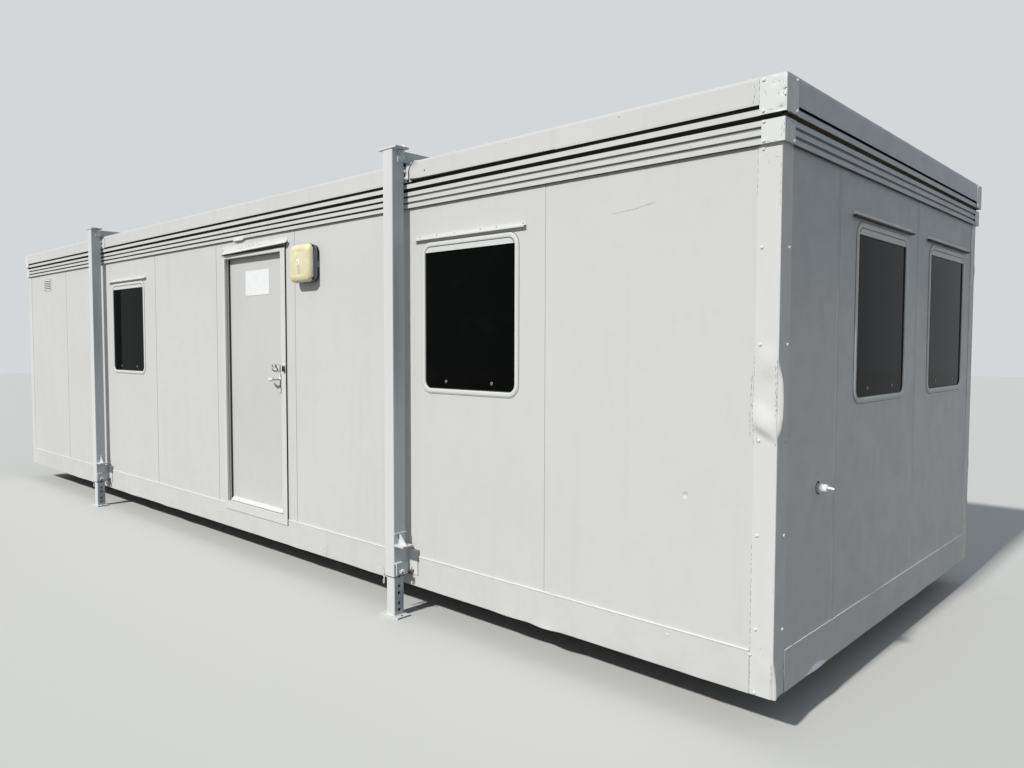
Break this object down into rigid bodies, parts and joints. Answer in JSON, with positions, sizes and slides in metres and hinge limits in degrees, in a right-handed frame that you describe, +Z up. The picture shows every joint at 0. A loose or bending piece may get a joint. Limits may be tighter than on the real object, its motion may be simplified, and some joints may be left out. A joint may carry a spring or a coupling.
{
  "type": "portable site cabin",
  "caption": "Flat-roofed steel-faced site cabin with a ribbed roof edge, glazed windows, an inward-opening door and pinned telescopic jacklegs.",
  "frame": {"origin": "on the ground under the middle of the whole outline", "axes": "+X along the length towards the end wall with two windows, -Y out of the wall with the door, +Z up"},
  "size_m": [9.7066, 3.33, 2.835],
  "materials": {
    "cabin_paint": "satin light-grey paint over steel-faced panels",
    "roof_paint": "satin light-grey roof sheet",
    "door_paint": "satin light-grey paint on the door",
    "leg_paint": "light-grey paint over steel sections",
    "pin_steel": "bare worn steel",
    "lock_steel": "painted-over and worn steel fittings",
    "tinted_glass": "dark tinted glass",
    "dark_plastic": "dark grey moulded plastic",
    "lens_plastic": "sun-yellowed lens plastic",
    "white_plastic": "white plastic fitting",
    "timber": "sawn softwood",
    "floor_board": "boarded floor",
    "ceiling_board": "white ceiling lining"
  },
  "bodies": {
    "cabin": {"base_rails_long": "cabin_paint", "base_rails_short": "cabin_paint", "floor_joists": "timber", "floor_deck": "floor_board", "front_wall_left": "cabin_paint", "front_wall_right": "cabin_paint", "front_wall_header": "cabin_paint", "rear_wall": "cabin_paint", "left_end_wall": "cabin_paint", "right_end_wall": "cabin_paint", "corner_trims": "cabin_paint", "ceiling_panel": "ceiling_board", "roof_joists": "timber", "roof_deck": "roof_paint", "fascia_long": "cabin_paint", "fascia_short": "cabin_paint", "ribbed_band_long": "cabin_paint", "ribbed_band_short": "cabin_paint", "roof_corner_caps": "cabin_paint", "door_frame": "cabin_paint", "door_hood": "cabin_paint", "window_frames": "cabin_paint", "window_glass": "tinted_glass", "window_hinge_bars": "cabin_paint", "window_catches": "dark_plastic", "drip_strips": "cabin_paint", "vent": "cabin_paint", "lamp_base": "dark_plastic", "lamp_lens": "lens_plastic", "water_inlet": "white_plastic", "leg_outer_tubes": "leg_paint", "leg_brackets": "leg_paint", "roof_beams": "leg_paint"},
    "door": {"door_leaf": "door_paint", "weather_bar": "door_paint", "lock_plates": "lock_steel"},
    "lever": {"door_levers": "lock_steel"},
    "leg_front_right": {"inner_leg_front_right": "leg_paint", "leg_pin_front_right": "pin_steel"},
    "leg_front_left": {"inner_leg_front_left": "leg_paint", "leg_pin_front_left": "pin_steel"},
    "leg_rear_right": {"inner_leg_rear_right": "leg_paint", "leg_pin_rear_right": "pin_steel"},
    "leg_rear_left": {"inner_leg_rear_left": "leg_paint", "leg_pin_rear_left": "pin_steel"}
  },
  "joints": [
    {"name": "door_hinge", "type": "hinge", "parent": "cabin", "child": "door", "pos_m": [0.15395, -1.434, 1.35], "axis": [0, 0, 1], "range_deg": [0, 90]},
    {"name": "lever_turn", "type": "hinge", "parent": "door", "child": "lever", "pos_m": [0.90425, -1.465, 1.393], "axis": [0, -1, 0], "range_deg": [0, 40], "stiffness_Nm_per_rad": 1.2, "springref_deg": -28.65},
    {"name": "leg_slide_front_right", "type": "slide", "parent": "cabin", "child": "leg_front_right", "axis": [0, 0, -1], "range_m": [0, 0.6]},
    {"name": "leg_slide_front_left", "type": "slide", "parent": "cabin", "child": "leg_front_left", "axis": [0, 0, -1], "range_m": [0, 0.6]},
    {"name": "leg_slide_rear_right", "type": "slide", "parent": "cabin", "child": "leg_rear_right", "axis": [0, 0, -1], "range_m": [0, 0.6]},
    {"name": "leg_slide_rear_left", "type": "slide", "parent": "cabin", "child": "leg_rear_left", "axis": [0, 0, -1], "range_m": [0, 0.6]}
  ]
}
